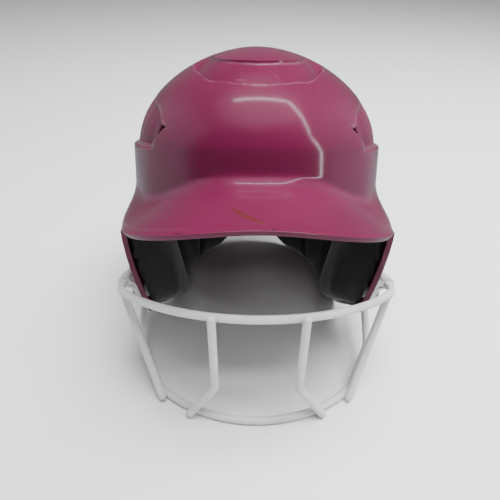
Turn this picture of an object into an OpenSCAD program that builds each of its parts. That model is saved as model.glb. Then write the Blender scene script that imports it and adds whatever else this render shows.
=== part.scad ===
// Batting helmet with a wire face guard, drawn as worn and then leant back to stand on guard and rim.
// Worn axes: x to the wearer's left, y towards the back of the head, z up from the brim's front edge.

/* [Shell] */
// Half width of the moulded shell over the ears
half_width = 104.5; // [101:0.5:108]
// Forehead in front of the head centre
front_reach = 117; // [112:0.5:122]
// Back of the shell behind the head centre
back_reach = 120; // [114:0.5:128]
// Height of the widest line above the brim edge
shoulder_z = 45; // [40:0.5:50]
// Rise of the crown above the widest line
crown_rise = 76; // [70:0.5:84]
// Wall of the moulded shell
wall = 3; // [2.4:0.1:3.6]
// How far the lower band stands out from the vented dome
band_step = 4.5; // [2:0.1:6]
// Inward taper of the sides from the band to the rim
side_taper = 26; // [22:0.5:29]
// Inward taper of the back from the band to the rim
back_taper = 10; // [5:0.5:13]
// Height of the rolled bead along the rim
bead = 1; // [0.4:0.1:1.6]

/* [Brim] */
// Brim edge in front of the head centre
brim_reach = 165; // [155:0.5:175]
// Half width of the brim at its corners
brim_half = 107; // [105:0.5:109]
// Height where the brim leaves the forehead
brim_root_z = 26; // [22:0.5:30]
// Droop of the brim between its middle and its corners
brim_droop = 12.5; // [9:0.5:15]

/* [Rim] */
// Depth of the ear flap at its front corner
flap_front = 88; // [80:0.5:94]
// Depth of the rim beside the head centre
rim_depth = 115; // [110:0.5:120]
// Slope of the rim from the ears up to the nape
rim_slope = 16.5; // [14:0.5:19]
// Height of the arch in the nape
nape_arch = 18; // [8:0.5:26]
// Width across the ear hole
ear_hole = 27; // [20:0.5:30]

/* [Vents] */
// Depth of the crown vents below the dome
crown_vent = 5; // [3:0.1:6]
// Depth of the side vents below the dome
side_vent = 3.6; // [2.5:0.1:5]
// Backward lean of the side slots, in degrees round the dome
slot_lean = 6; // [0:0.5:8]

/* [Padding] */
// Thickness of the ear pads
ear_pad_t = 15; // [10:0.5:17]
// Thickness of the pads round the head
head_pad_t = 13; // [8:0.5:16]
// Gap between a pad and the shell
pad_gap = 0.3; // [0.3:0.1:0.8]

/* [Guard] */
// Diameter of the coated guard wire
wire_d = 6; // [5:0.1:7]
// Depth of the upper bar below the brim edge
upper_bar_z = 61; // [56:0.5:66]
// Upper bar in front of the head centre
upper_bar_y = 150; // [146:0.5:156]
// Half width of the guard at the flaps
guard_half = 105; // [103.5:0.5:107]
// Radius of the upper bar's front arc
upper_arc = 130; // [120:1:140]
// Lower bar in front of the head centre
lower_bar_y = 132; // [126:0.5:138]
// Radius of the lower bar's front arc
lower_arc = 104; // [96:1:112]
// Distance of each middle bar from the centre
middle_bar_x = 30.5; // [26:0.5:35]
// Spread of each middle bar at the lower bar
middle_foot_x = 47; // [42:0.5:52]

/* [Fixings] */
// Thickness of the clip strap
strap_t = 1.8; // [1.4:0.1:2.4]
// Width of the clip strap
strap_w = 13; // [10:0.5:16]
// Diameter of the clip screws
screw_d = 4; // [3:0.1:5]

/* [Hidden] */

// Guide shapes of the shell
dome_power = 1.81;
dome_squareness = 2.1;
brim_squareness = 3;
brim_fillet = 0.28;
brim_crown = 0.12;
corner_angle = 45.4;
flap_angle = 49.2;
taper_top_z = -10;
taper_power = 1.6;
flap_end_angle = 99;
arch_angle = 156;
bead_height = 4;

// Block of the shell's grid that the ear hole opens
ear_angle = 86;
ear_level = 0.51;
ear_half_angle = 8;
ear_half_level = 0.09;
ear_block = 28;

shell_pink = [0.62, 0.13, 0.33];
foam_black = [0.09, 0.09, 0.1];
wire_white = [0.86, 0.87, 0.84];
steel_grey = [0.62, 0.63, 0.65];

// Seats and clearances
seat_gap = 0.3;
weld_gap = 0.1;
hole_gap = 0.1;
pad_edge = 0.5;
pad_corner = 0.07;
channel_depth = 0.72;
ear_relief = 3;

// Guard
wire_sides = 32;
bend_swell = 0.06;
bend_lap = 0.3;
corner_arc = 26;
join_y = -31;
loop_back_y = -22;
lower_half = 70;
side_foot_x = 69;
lap_end = 3;

// Fixings
upper_clip_y = -74;
lower_clip_run = 16;
screw_reach = 12.5;
strap_slit = 0.2;
washer_d = 9;
washer_t = 1;
flange_d = 12;
flange_t = 1.2;
barrel_d = 5.6;
nut_pocket = 4;

function clamp(x) = min(max(x, 0), 1);
function mix(a, b, x) = a + (b - a) * x;
function ease(x) = let (c = clamp(x)) c * c * (3 - 2 * c);
function step_between(a, b, x) = ease((x - a) / (b - a));
function unit(v) = v / norm(v);

// Smooth curve through [angle, value] stops, for an angle inside the stops
function curve(stops, x, i = 0) =
    (i < len(stops) - 2 && x > stops[i + 1][0]) ? curve(stops, x, i + 1) :
    let (
        a = stops[i], b = stops[i + 1],
        before = i > 0 ? stops[i - 1] : a,
        after = i < len(stops) - 2 ? stops[i + 2] : b,
        span = b[0] - a[0],
        u = clamp((x - a[0]) / span),
        m0 = (b[1] - before[1]) / (b[0] - before[0]) * span,
        m1 = (after[1] - a[1]) / (after[0] - a[0]) * span,
        u2 = u * u, u3 = u2 * u
    )
    (2 * u3 - 3 * u2 + 1) * a[1] + (u3 - 2 * u2 + u) * m0
        + (3 * u2 - 2 * u3) * b[1] + (u3 - u2) * m1;

// Azimuth from the front, folded to one side of the helmet
function side_angle(a) = let (w = abs(a) % 360) w > 180 ? 360 - w : w;

// Distance from the head centre to an oval's edge in the direction f
function oval(f, width, front, back, n) =
    let (s = abs(sin(f)) / width, c = abs(cos(f)) / (cos(f) > 0 ? front : back))
    1 / pow(pow(s, n) + pow(c, n), 1 / n);

// The plane that the helmet stands on
function stand_z(y) = -rim_depth + tan(rim_slope) * y;

// Plan of the dome and of the brim line, f being the angle from the front
function taper(z) = pow(max(taper_top_z - z, 0) / (rim_depth + taper_top_z), taper_power);
function band(f, z) = band_step * step_between(28, 52, f) * (1 - step_between(150, 176, f))
    * (1 - step_between(shoulder_z - 8, shoulder_z, z));
function back_of(z) = back_reach - back_taper * taper(z);
function dome_r(f, z) =
    oval(f, half_width - band_step + band(f, z) - side_taper * taper(z), front_reach, back_of(z),
        dome_squareness);
function flap_half(z) = mix(brim_half, half_width - side_taper, taper(z));
function brim_r(f, z) =
    f > 90 ? dome_r(f, z)
    : oval(f, flap_half(z), brim_reach, back_of(z), brim_squareness);

// Lower edge of the moulding: brim, front of the flap, flap, then the standing rim with its arch
function brim_z(f) = wall - brim_droop * ease(f / 38);
function flap_z(f) =
    -flap_front + (stand_z(15) + flap_front)
        * pow(sin(90 * clamp((f - flap_angle) / (flap_end_angle - flap_angle))), 1.3);
function rim_y(f, z) = -dome_r(f, z) * cos(f);
function rear_z(f) =
    let (first = stand_z(rim_y(f, -rim_depth)))
    stand_z(rim_y(f, first)) + nape_arch * pow(ease((f - arch_angle) / (180 - arch_angle)), 0.7);
function rim_z(f) =
    f < corner_angle ? brim_z(f)
    : f < flap_angle
        ? mix(brim_z(f), flap_z(f), ease((f - corner_angle) / (flap_angle - corner_angle)))
    : f < flap_end_angle ? flap_z(f)
    : rear_z(f);

// A place on the skin is an angle f from the front and a level q. Levels above 0 are degrees up the
// dome to 90 at the crown, and levels from 0 to -1 run down from the widest line to the rim.
function skin_z(f, q) =
    q >= 0 ? shoulder_z + crown_rise * pow(sin(q), 2 / dome_power)
    : shoulder_z + (rim_z(f) - shoulder_z) * -q;

// How far the section at f has left the dome for the brim line, from 0 to 1
function flare(f, z) =
    let (
        root = brim_root_z - f / 6,
        x = (root - z) / (root - brim_z(f)),
        e = brim_fillet,
        swept = x < -e ? 0 : x < e ? (x + e) * (x + e) / (4 * e) : min(x, 1),
        crowned = swept * (1 + brim_crown) - brim_crown * swept * swept
    )
    mix(crowned, ease(x * 0.9 + 0.1), step_between(36, 50, f));

// The liner follows the dome alone, and the moulding also the brim
function skin_r(f, q, brim) =
    let (z = skin_z(f, q))
    q >= 0 ? dome_r(f, shoulder_z) * pow(cos(q), 2 / dome_power)
    : mix(dome_r(f, z), brim_r(f, z), brim * flare(f, z));
function smooth_skin(a, q, brim) =
    let (f = side_angle(a), r = skin_r(f, q, brim))
    [r * sin(a), -r * cos(a), skin_z(f, q)];
function skin_normal(a, q, brim) =
    q > 89 ? [0, 0, 1]
    : let (
        da = 0.4,
        dq = q > 0 ? 0.4 : 0.008,
        along = smooth_skin(a + da, q, brim) - smooth_skin(a - da, q, brim),
        down = smooth_skin(a, max(q - dq, -1), brim) - smooth_skin(a, q + dq, brim)
    )
    unit(cross(down, along));

// Design lines of the vents, as levels at an angle f from the front
function crown_line(f) = curve([[0, 55], [30, 57], [54, 61.6], [90, 64], [126, 61], [180, 53]], f);
function lip_line(f) = curve([[0, 40], [23, 42.5], [46, 51], [75, 55], [105, 55], [134, 51], [180, 37]], f);
function side_top_line(f) =
    curve([[0, 20], [30, 17], [37, 17], [61, 29], [90, 33], [110, 25], [120, 18], [180, 20]], f);
function side_foot_line(f) =
    curve([[0, 11], [30, 14.5], [37, 11], [44, 4], [60, 3], [108, 3.5], [117, 9], [124, 13], [180, 11]], f);

// Depth of the vents below the smooth dome
function crown_depth(f, q) =
    let (top = crown_line(f), lip = lip_line(f))
    crown_vent * (1 - step_between(50, 72, f) * (1 - step_between(108, 130, f)))
        * (q > top - 2 ? 0.35 * step_between(top + 2, top - 2, q)
            : q > lip + 5 ? mix(1, 0.35, (q - lip - 5) / (top - lip - 7))
            : step_between(lip - 0.5, lip + 1.5, q));
function side_depth(f, q) =
    let (top = side_top_line(f), foot = side_foot_line(f))
    side_vent * step_between(33, 41, f) * (1 - step_between(108, 120, f))
        * step_between(top + 1.5, top - 1.5, q) * step_between(foot - 0.5, foot + 2.5, q);
function vent_depth(f, q) = q <= 0 ? 0 : crown_depth(f, q) + side_depth(f, q);

// Point at a depth below the skin, vents included
function skin_point(a, q, depth, brim = 1) =
    let (f = side_angle(a))
    smooth_skin(a, q, brim) - (depth + vent_depth(f, q)) * skin_normal(a, q, brim);

// Squares round the ear are drawn out to a round hole
function ear_place(a, q, hole = ear_hole) =
    let (
        f = side_angle(a),
        x = (f - ear_angle) / ear_half_angle,
        y = (-q - ear_level) / ear_half_level,
        s = max(abs(x), abs(y)),
        e = max(norm([x, y]), 0.001),
        k = q > 0 || s > 2 ? 1 : mix(hole / ear_block * s / e, 1, clamp(s - 1)),
        g = ear_angle + ear_half_angle * x * k
    )
    [a > 180 ? 360 - g : a < 0 ? -g : g, q > 0 ? q : -(ear_level + ear_half_level * y * k)];
function in_ear(f, q) = abs(f - ear_angle) < ear_half_angle && abs(-q - ear_level) < ear_half_level;

// A walled sheet between two grids of points. Cells marked open are left out, a closed sheet goes
// right round, and a pole closes its first row.
module sheet(outer, inner, open = [], closed = false, poles = []) {
    rows = len(outer);
    cols = len(outer[0]);
    span = closed ? cols : cols - 1;
    count = rows * cols;
    function at(i, j) = i * cols + (j % cols);
    function solid(i, j) =
        i >= 0 && i < rows - 1 && (closed || (j >= 0 && j < span))
        && (len(open) == 0 || !open[i][(j + span) % span]);
    function skin(a, b, c, d) = [
        [a, b, c], [a, c, d],
        [a + count, c + count, b + count], [a + count, d + count, c + count]
    ];
    function edge(a, b) = [[a, b, b + count], [a, b + count, a + count]];
    walls = [
        for (i = [0 : rows - 2], j = [0 : span - 1]) if (solid(i, j))
            let (a = at(i, j), b = at(i, j + 1), c = at(i + 1, j + 1), d = at(i + 1, j))
            each concat(
                skin(a, b, c, d),
                solid(i + 1, j) ? [] : edge(d, c),
                solid(i - 1, j) || (i == 0 && len(poles) > 0) ? [] : edge(b, a),
                solid(i, j + 1) ? [] : edge(c, b),
                solid(i, j - 1) ? [] : edge(a, d))
    ];
    crown = 2 * count;
    caps = [
        if (len(poles) > 0) for (j = [0 : cols - 1])
            each [[crown, at(0, j + 1), at(0, j)], [crown + 1, at(0, j) + count, at(0, j + 1) + count]]
    ];
    polyhedron(
        points = concat([for (row = outer) each row], [for (row = inner) each row], poles),
        faces = concat(walls, caps),
        convexity = 8);
}

// Columns of the shell, as angles from the front over one side, closest along the flap's front edge
half_columns = concat(
    [for (f = [0 : 5 : 40]) f], [44],
    [for (k = [0 : 5]) mix(corner_angle, flap_angle, k / 5)],
    [53.4, 58.6, 62.8, 68, 72.2],
    [for (k = [-2 : 2]) ear_angle + ear_half_angle * k / 2],
    [flap_end_angle, 104, 110, 116, 122, 129, 136, 143, 150, 156, 161, 166, 170, 175, 180]);
last_column = len(half_columns) - 1;
columns = concat(half_columns, [for (k = [last_column - 1 : -1 : 1]) 360 - half_columns[k]]);

// Rows of the shell below the crown: one level for each angle, following the vents' lines
lower_rows = [0.05, 0.1, 0.2, 0.3, 0.38, 0.44, 0.5, 0.56, 0.62, 0.7, 0.78, 0.86, 0.93];
function upper_levels(f) =
    let (
        top = crown_line(f), lip = lip_line(f),
        side_top = side_top_line(f), foot = side_foot_line(f)
    )
    [
        mix(90, top, 0.3), mix(90, top, 0.65), top + 2, top - 2, mix(top, lip + 5, 0.5),
        lip + 5, lip + 1.5, lip - 0.5, lip - 4, mix(lip, side_top, 0.55),
        side_top + 1.5, side_top - 1.5, mix(side_top, foot, 0.36), mix(side_top, foot, 0.64),
        foot + 2.5, foot - 0.5, 0
    ];
slot_row = 5;
fin_rows = [11, 13];
// Backward lean of the columns through the side vents, row by row
lean_rows = [[11, 0], [12, 0.36], [13, 0.64], [14, 1], [15, 1], [16, 0.7], [17, 0.3]];
function lean(i, f) =
    slot_lean * step_between(28, 38, f) * (1 - step_between(96, 120, f))
        * (i < 11 || i > 18 ? 0 : lookup(i, concat(lean_rows, [[18, 0]])));

// Distance up from the rim gives the rolled bead
function rim_roll(f, q) =
    q > -0.5 ? 0 : bead * ease((bead_height - (1 + q) * (shoulder_z - rim_z(f))) / 1.5);

function shell_levels(f) =
    let (drop = shoulder_z - rim_z(f))
    concat(upper_levels(f), [for (v = lower_rows) -v * (1 - bead_height / drop)],
        [-(1 - (bead_height - 1.5) / drop), -1]);
function shell_row(i, depth) = [
    for (a = columns)
        let (
            f = side_angle(a),
            turned = a > 180 ? a - lean(i, f) : a + lean(i, f),
            place = ear_place(turned, shell_levels(side_angle(turned))[i])
        )
        skin_point(place[0], place[1], depth > 0 ? depth : -rim_roll(f, place[1]))
];
shell_count = len(shell_levels(0));

// Slots cut behind the crown vents' lips and between the side vents' fins
function in_slot(i, a) =
    let (f = side_angle(a))
    i == slot_row ? (f < 5 || (f > 10 && f < 20) || (f > 156 && f < 166) || f > 175)
    : i >= fin_rows[0] && i <= fin_rows[1]
        && ((f > 40 && f < 44) || (f > 49.2 && f < 53.4) || (f > 58.6 && f < 62.8)
            || (f > 68 && f < 72.2) || (f > 78 && f < 82));
function shell_open(i, j) =
    let (
        a = columns[j], next = j == len(columns) - 1 ? 360 : columns[j + 1],
        middle = (a + next) / 2, f = side_angle(middle),
        levels = shell_levels(f), level = (levels[i] + levels[i + 1]) / 2
    )
    in_slot(i, middle) || (level < 0 && in_ear(f, level));

module shell_wall() {
    difference() {
        sheet(
            [for (i = [0 : shell_count - 1]) shell_row(i, 0)],
            [for (i = [0 : shell_count - 1]) shell_row(i, wall)],
            [for (i = [0 : shell_count - 2]) [for (j = [0 : len(columns) - 1]) shell_open(i, j)]],
            closed = true,
            poles = [[0, 0, shoulder_z + crown_rise], [0, 0, shoulder_z + crown_rise - wall]]);
        both_sides() for (clip = clips) at_screw(clip)
            translate([0, 0, -reach(clip) - 2 * wall])
                cylinder(d = barrel_d + 2 * hole_gap, h = 4 * wall, $fn = 32);
    }
}

// Tips the helmet back from its worn pose until guard and rim stand on the floor
rest_rise = rim_depth * cos(rim_slope);
stand_front = -lower_bar_y / cos(rim_slope);
function rest_y(p) = p.y * cos(rim_slope) + p.z * sin(rim_slope);
rest_back = max([for (q = [0 : 2 : 60]) rest_y(smooth_skin(180, q, 0))]);
rest_front = stand_front - wire_d / 2 - rim_depth * sin(rim_slope);
module at_rest() {
    translate([0, -(rest_back + rest_front) / 2, rest_rise]) rotate([-rim_slope, 0, 0]) children();
}
module right() {
    mirror([1, 0, 0]) children();
}
module both_sides() {
    children();
    right() children();
}

// Foam pads follow the inside of the moulding. Their levels p are degrees up the dome above 0 and
// sixtieths of the drop to the rim below it.
function pad_level(p) = p >= 0 ? p : p / 60;
function swell(x) = sqrt(1 - pow(abs(x), 4));
function tuck(x, y) = x * (1 - pad_corner * pow(abs(y), 6));

// A crowned pad from angle a0 to a1. Its top edge runs from level top[0] to top[1], its bottom edge
// lies at foot, and channels are pressed across its face at the listed columns.
module pad(a0, a1, top, foot, t, cols, rows, brim = 0, ear = false, channels = []) {
    function angle_at(s) = mix(a0, a1, (s + 1) / 2);
    function level_at(s, r) = pad_level(mix(mix(top[0], top[1], (s + 1) / 2), foot, (r + 1) / 2));
    function place(i, j) =
        let (u = 2 * j / cols - 1, v = 2 * i / rows - 1, s = tuck(u, v), r = tuck(v, u))
        ear ? ear_place(angle_at(s), level_at(s, r), ear_hole + 2 * ear_relief)
        : [angle_at(s), level_at(s, r)];
    function thickness(i, j) =
        t * mix(pad_edge, 1, swell(2 * j / cols - 1) * swell(2 * i / rows - 1))
            * (len(search(j, channels)) > 0 ? channel_depth : 1);
    function layer(inner) = [
        for (i = [0 : rows]) [
            for (j = [0 : cols])
                let (at = place(i, j))
                skin_point(at[0], at[1], wall + pad_gap + (inner ? thickness(i, j) : 0), brim)
        ]
    ];
    holes = [
        for (i = [0 : rows - 1]) [
            for (j = [0 : cols - 1])
                let (u = (2 * j + 1) / cols - 1, v = (2 * i + 1) / rows - 1)
                ear && in_ear(angle_at(u), level_at(u, v))
        ]
    ];
    sheet(layer(false), layer(true), holes);
}

// The ear pad's columns and rows keep the steps of the block round the ear hole
module ear_pad() {
    difference() {
        pad(ear_angle - 4.5 * ear_half_angle, ear_angle + 1.5 * ear_half_angle,
            -60 * (ear_level - 1.5 * ear_half_level) * [1, 1], -60 * (ear_level + 5 * ear_half_level),
            ear_pad_t, 12, 13, brim = 1, ear = true);
        for (clip = clips) at_screw(clip)
            translate([0, 0, -reach(clip) - wall - nut_pocket])
                cylinder(d = flange_d + 2, h = nut_pocket, $fn = 32);
    }
}
module side_pad() {
    pad(50, 128, [-4, -4], -19.5, head_pad_t - 2, 14, 7, channels = [5, 9]);
}
module nape_pad() {
    pad(101, 157, [-26, -31.5], -59.2, head_pad_t + 2, 12, 8, channels = [6]);
}
module forehead_pad_foam() {
    pad(-38, 38, [15, 15], -30, head_pad_t, 16, 8, channels = [5, 11]);
}
module back_pad_foam() {
    pad(135, 225, [5, 5], -28, head_pad_t, 16, 8, channels = [5, 11]);
}
crown_rows = [86, 80, 74, 69.5, 67, 66];
crown_columns = [for (k = [0 : 23]) 15 * k];
module crown_pad_foam() {
    function thickness(i, k) =
        head_pad_t * mix(pad_edge, 1, swell(i / (len(crown_rows) - 1))) * (k % 6 == 3 ? channel_depth : 1);
    function layer(inner) = [
        for (i = [0 : len(crown_rows) - 1]) [
            for (k = [0 : len(crown_columns) - 1])
                skin_point(crown_columns[k], crown_rows[i], wall + pad_gap + (inner ? thickness(i, k) : 0))
        ]
    ];
    top = shoulder_z + crown_rise - wall - pad_gap;
    sheet(layer(false), layer(true), closed = true, poles = [[0, 0, top], [0, 0, top - head_pad_t]]);
}

// Bent round bar. Each inner point of the route gets a bend of the radius given for it.
module placed(o, x, y) {
    z = cross(x, y);
    multmatrix([[x.x, y.x, z.x, o.x], [x.y, y.y, z.y, o.y], [x.z, y.z, z.z, o.z], [0, 0, 0, 1]])
        children();
}
function square_to(d) = unit(cross(abs(d.z) < 0.8 ? [0, 0, 1] : [1, 0, 0], d));
function turn(p, i) = acos(unit(p[i] - p[i - 1]) * unit(p[i + 1] - p[i]));
function cut_back(p, radii, i) =
    i == 0 || i == len(p) - 1 ? 0 : radii[i - 1] * tan(turn(p, i) / 2);
module bar(p, radii = [], domed = [true, true]) {
    last = len(p) - 1;
    for (i = [0 : last - 1]) {
        d = unit(p[i + 1] - p[i]);
        side = square_to(d);
        start = cut_back(p, radii, i) - (i > 0 ? bend_lap : 0);
        end = cut_back(p, radii, i + 1) - (i < last - 1 ? bend_lap : 0);
        placed(p[i] + d * start, side, cross(d, side))
            rod(norm(p[i + 1] - p[i]) - start - end, i == 0 && domed[0], i == last - 1 && domed[1]);
    }
    if (last > 1) for (i = [1 : last - 1]) {
        a = unit(p[i] - p[i - 1]);
        inward = cross(unit(cross(a, p[i + 1] - p[i])), a);
        placed(p[i] - a * cut_back(p, radii, i) + inward * radii[i - 1], -inward, a)
            bend(radii[i - 1], turn(p, i), wire_d + bend_swell);
    }
}
// Straight stretch of wire along z, with a dome of coating over an end that is free
module rod(long, domed_foot, domed_top) {
    r = wire_d / 2;
    rotate_extrude($fn = wire_sides) polygon(concat(
        domed_foot ? [for (a = [0 : 18 : 90]) [r * sin(a), -r * cos(a)]] : [[0, 0], [r, 0]],
        domed_top ? [for (a = [90 : -18 : 0]) [r * sin(a), long + r * cos(a)]] : [[r, long], [0, long]]));
}
module bend(r, angle, d = wire_d) {
    rotate_extrude(angle = angle, $fn = 96) translate([r, 0]) circle(d = d, $fn = wire_sides);
}

// Upper bar: a front arc, a tighter corner each side, and straight ends along the flaps
upper_centre_y = -upper_bar_y + upper_arc;
upper_half_angle = asin((guard_half - corner_arc) / (upper_arc - corner_arc));
corner_centre = [sin(upper_half_angle), -cos(upper_half_angle)] * (upper_arc - corner_arc);
corner_y = upper_centre_y + corner_centre.y;
function upper_point(x) =
    let (a = asin(x / upper_arc))
    [x, upper_centre_y - upper_arc * cos(a), -upper_bar_z];
function upper_along(x) = let (a = asin(x / upper_arc)) [cos(a), sin(a), 0];
module upper_bar() {
    front_half_angle = upper_half_angle + bend_lap / upper_arc * 180 / PI;
    translate([0, upper_centre_y, -upper_bar_z])
        rotate([0, 0, -90 - front_half_angle]) bend(upper_arc, 2 * front_half_angle);
    both_sides() {
        translate([corner_centre.x, corner_y, -upper_bar_z])
            rotate([0, 0, upper_half_angle - 90])
                bend(corner_arc, 90 - upper_half_angle, wire_d + bend_swell);
        bar([[guard_half, corner_y - bend_lap, -upper_bar_z], [guard_half, join_y, -upper_bar_z]],
            domed = [false, false]);
    }
}

// Lower bar: one arc that lies on the floor when the helmet is put down
lower_half_angle = asin(lower_half / lower_arc);
function on_stand(v) = [v.x, v.y * cos(rim_slope) - v.z * sin(rim_slope),
    v.y * sin(rim_slope) + v.z * cos(rim_slope)];
function lower_point(x) =
    let (a = asin(x / lower_arc))
    on_stand([x, stand_front + lower_arc * (1 - cos(a)), wire_d / 2]) - [0, 0, rim_depth];
function lower_along(x) = let (a = asin(x / lower_arc)) on_stand([cos(a), sin(a), 0]);
module lower_bar() {
    translate([0, 0, -rim_depth]) rotate([rim_slope, 0, 0])
        translate([0, stand_front + lower_arc, wire_d / 2])
            rotate([0, 0, -90 - lower_half_angle]) bend(lower_arc, 2 * lower_half_angle);
}

// Side loop: from the lower bar's end out and up past the flap, and round into the upper bar
loop_start = lower_point(lower_half);
loop_foot = loop_start + 9 * lower_along(lower_half);
loop_knee = [guard_half - 11.5, -75, -117];
loop_heel = [guard_half - 6, loop_back_y, -80];
loop_top = [guard_half, loop_back_y, -upper_bar_z];
module guard_loop() {
    bar([loop_start, loop_foot, loop_knee, loop_heel, loop_top, [guard_half, join_y, -upper_bar_z]],
        [16, 16, 9, 8.9], domed = [false, false]);
}

// Upright bars are welded across the front of the long bars, and the side bars' tops under the upper
// bar. A lap point is the centre of an upright where it crosses the long bar that runs through the
// point p along t.
function lap_point(p, t, toward, out, n = 3) =
    n == 0 ? p + out * (wire_d + weld_gap)
    : let (
        at = lap_point(p, t, toward, out, n - 1),
        across = unit(cross(t, toward - at))
    )
    p + across * (across * out > 0 ? 1 : -1) * (wire_d + weld_gap);
middle_knee = [middle_bar_x, -138, -120];
middle_top = lap_point(upper_point(middle_bar_x), upper_along(middle_bar_x), middle_knee, [0, -1, 0]);
middle_foot = lap_point(lower_point(middle_foot_x), lower_along(middle_foot_x), middle_knee, [0, -1, 0]);
module middle_bar() {
    bar([
        middle_top + unit(middle_top - middle_knee) * lap_end,
        middle_knee,
        middle_foot + unit(middle_foot - middle_knee) * lap_end / 4
    ], [12]);
}
side_top = [guard_half - 1, corner_y, -upper_bar_z - wire_d - weld_gap];
side_foot = lap_point(lower_point(side_foot_x), lower_along(side_foot_x), side_top, [0.4, -0.9, 0]);
module side_bar() {
    bar([side_top, side_foot]);
}

// Clips hold the guard's wire to the flap. A clip is given by a place on the wire, the wire's
// direction there and the way its strap points.
function flap_x(y, z) =
    flap_half(z) * pow(1 - pow(abs(y) / brim_reach, brim_squareness), 1 / brim_squareness);
function flap_out(y, z) =
    unit([1, flap_x(y - 0.5, z) - flap_x(y + 0.5, z), flap_x(y, z - 0.5) - flap_x(y, z + 0.5)]);
lower_run = unit(loop_heel - loop_knee);
clips = [
    [[guard_half, upper_clip_y, -upper_bar_z], [0, 1, 0], [0, 0, -1]],
    [loop_heel - lower_run * lower_clip_run, lower_run, [0, -0.6, 0.8]]
];
function clip_out(clip) =
    let (side = flap_out(clip[0].y, clip[0].z + 10 * clip[2].z), w = clip[1])
    unit(side - (side * w) * w);
function clip_down(clip) =
    let (v = cross(clip_out(clip), clip[1])) v * clip[2] > 0 ? v : -v;
function clip_screw(clip) = clip[0] + clip_down(clip) * screw_reach;
// Distance from the wire's centre to the flap along the screw
function reach(clip, t = 0, n = 4) =
    n == 0 ? t
    : let (at = clip_screw(clip) - clip_out(clip) * t)
    reach(clip, t + (at.x - flap_x(at.y, at.z)) * clip_out(clip).x, n - 1);
// The screw's axis is z, with 0 level with the wire's centre
module at_screw(clip) {
    placed(clip_screw(clip), clip_down(clip), cross(clip_out(clip), clip_down(clip))) children();
}
function strap_foot(clip) = -reach(clip) + seat_gap;
module clip_strap(clip) {
    foot = strap_foot(clip);
    ri = wire_d / 2 + 0.1;
    ro = ri + strap_t;
    end = screw_reach + strap_w / 2;
    module layer(points) {
        linear_extrude(height = strap_w, center = true) polygon(points);
    }
    difference() {
        placed(clip[0], clip_down(clip), clip_out(clip)) difference() {
            union() {
                cylinder(r = ro, h = strap_w, center = true, $fn = 64);
                layer([[-0.4, -ro + 0.1], [0, -ri], [2.4, -ri], [6.5, foot + strap_t],
                    [end, foot + strap_t], [end, foot], [5, foot]]);
                layer([[ri, -0.8], [ro - 0.2, -0.6], [8, foot + 2 * strap_t + strap_slit],
                    [end, foot + 2 * strap_t + strap_slit], [end, foot + strap_t + strap_slit],
                    [6.8, foot + strap_t + strap_slit]]);
            }
            cylinder(r = ri, h = strap_w + 2, center = true, $fn = 64);
        }
        at_screw(clip) translate([0, 0, -30]) cylinder(d = screw_d + 0.4, h = 40, $fn = 32);
    }
}
function strap_top(clip) = strap_foot(clip) + 2 * strap_t + strap_slit;
module washer(clip) {
    at_screw(clip) translate([0, 0, strap_top(clip) + 0.02]) difference() {
        cylinder(d = washer_d, h = washer_t, $fn = 48);
        translate([0, 0, -1]) cylinder(d = screw_d + 0.3, h = washer_t + 2, $fn = 48);
    }
}
// Pan head with a cross recess, and a shank that ends flush with the nut's flange
module screw(clip) {
    seat = strap_top(clip) + 0.04 + washer_t;
    head_h = 0.55 * screw_d;
    tip = -reach(clip) - wall - flange_t - seat_gap;
    at_screw(clip) difference() {
        rotate_extrude($fn = 48) polygon([
            [0, tip], [screw_d / 2 - 0.5, tip], [screw_d / 2, tip + 0.5], [screw_d / 2, seat],
            [screw_d, seat], [screw_d, seat + 0.4 * head_h], [0.72 * screw_d, seat + head_h],
            [0, seat + head_h]
        ]);
        for (a = [0, 90]) rotate([0, 0, a])
            translate([-0.5 * screw_d, -0.5, seat + 0.45 * head_h]) cube([screw_d, 1, head_h]);
    }
}
// Tee nut: the flange lies inside the flap and the barrel passes through it
module nut(clip) {
    inside = -reach(clip) - wall - seat_gap;
    at_screw(clip) difference() {
        union() {
            translate([0, 0, inside - flange_t]) cylinder(d = flange_d, h = flange_t, $fn = 48);
            translate([0, 0, inside - 0.5]) cylinder(d = barrel_d, h = wall + 0.5, $fn = 48);
        }
        translate([0, 0, inside - flange_t - 1]) cylinder(d = screw_d + 0.1, h = wall + flange_t + 3, $fn = 48);
    }
}

module shell() {
    color(shell_pink) at_rest() shell_wall();
}
module forehead_pad() {
    color(foam_black) at_rest() forehead_pad_foam();
}
module crown_pad() {
    color(foam_black) at_rest() crown_pad_foam();
}
module back_pad() {
    color(foam_black) at_rest() back_pad_foam();
}
module side_pad_left() {
    color(foam_black) at_rest() side_pad();
}
module side_pad_right() {
    color(foam_black) at_rest() right() side_pad();
}
module ear_pad_left() {
    color(foam_black) at_rest() ear_pad();
}
module ear_pad_right() {
    color(foam_black) at_rest() right() ear_pad();
}
module nape_pad_left() {
    color(foam_black) at_rest() nape_pad();
}
module nape_pad_right() {
    color(foam_black) at_rest() right() nape_pad();
}
module guard_upper_bar() {
    color(wire_white) at_rest() upper_bar();
}
module guard_lower_bar() {
    color(wire_white) at_rest() lower_bar();
}
module guard_loop_left() {
    color(wire_white) at_rest() guard_loop();
}
module guard_loop_right() {
    color(wire_white) at_rest() right() guard_loop();
}
module middle_bar_left() {
    color(wire_white) at_rest() middle_bar();
}
module middle_bar_right() {
    color(wire_white) at_rest() right() middle_bar();
}
module side_bar_left() {
    color(wire_white) at_rest() side_bar();
}
module side_bar_right() {
    color(wire_white) at_rest() right() side_bar();
}
module upper_clip_left() {
    color(wire_white) at_rest() clip_strap(clips[0]);
}
module upper_clip_right() {
    color(wire_white) at_rest() right() clip_strap(clips[0]);
}
module lower_clip_left() {
    color(wire_white) at_rest() clip_strap(clips[1]);
}
module lower_clip_right() {
    color(wire_white) at_rest() right() clip_strap(clips[1]);
}
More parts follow.
